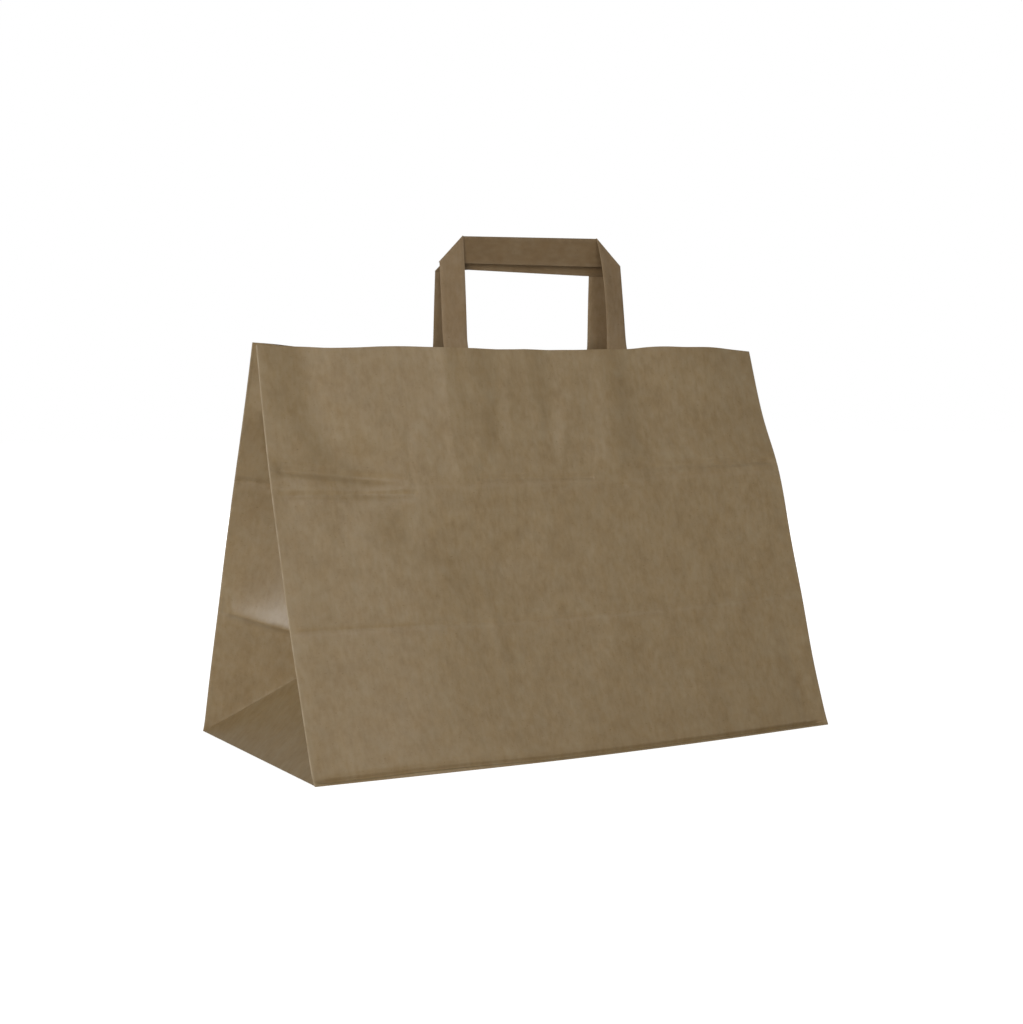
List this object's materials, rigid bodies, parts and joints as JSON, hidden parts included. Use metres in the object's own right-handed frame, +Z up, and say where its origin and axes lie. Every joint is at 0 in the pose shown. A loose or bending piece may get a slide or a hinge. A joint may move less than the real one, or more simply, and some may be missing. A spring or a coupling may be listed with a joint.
{
  "type": "paper carrier bag",
  "caption": "Kraft paper carrier bag with a folded block bottom, gusseted sides and flat folded paper handles, standing with its mouth nearly shut.",
  "frame": {"origin": "on the floor under the middle of the bag's bottom", "axes": "+X along the bag's width, to the right seen from the front panel; +Y from the front panel to the back panel; +Z up"},
  "size_m": [0.35, 0.17, 0.3044],
  "materials": {
    "bag_kraft": "matte",
    "handle_kraft": "matte",
    "patch_kraft": "matte"
  },
  "bodies": {
    "root": {"bag_body": "bag_kraft", "front_handle": "handle_kraft", "rear_handle": "handle_kraft", "front_patch": "patch_kraft", "rear_patch": "patch_kraft"}
  },
  "joints": []
}
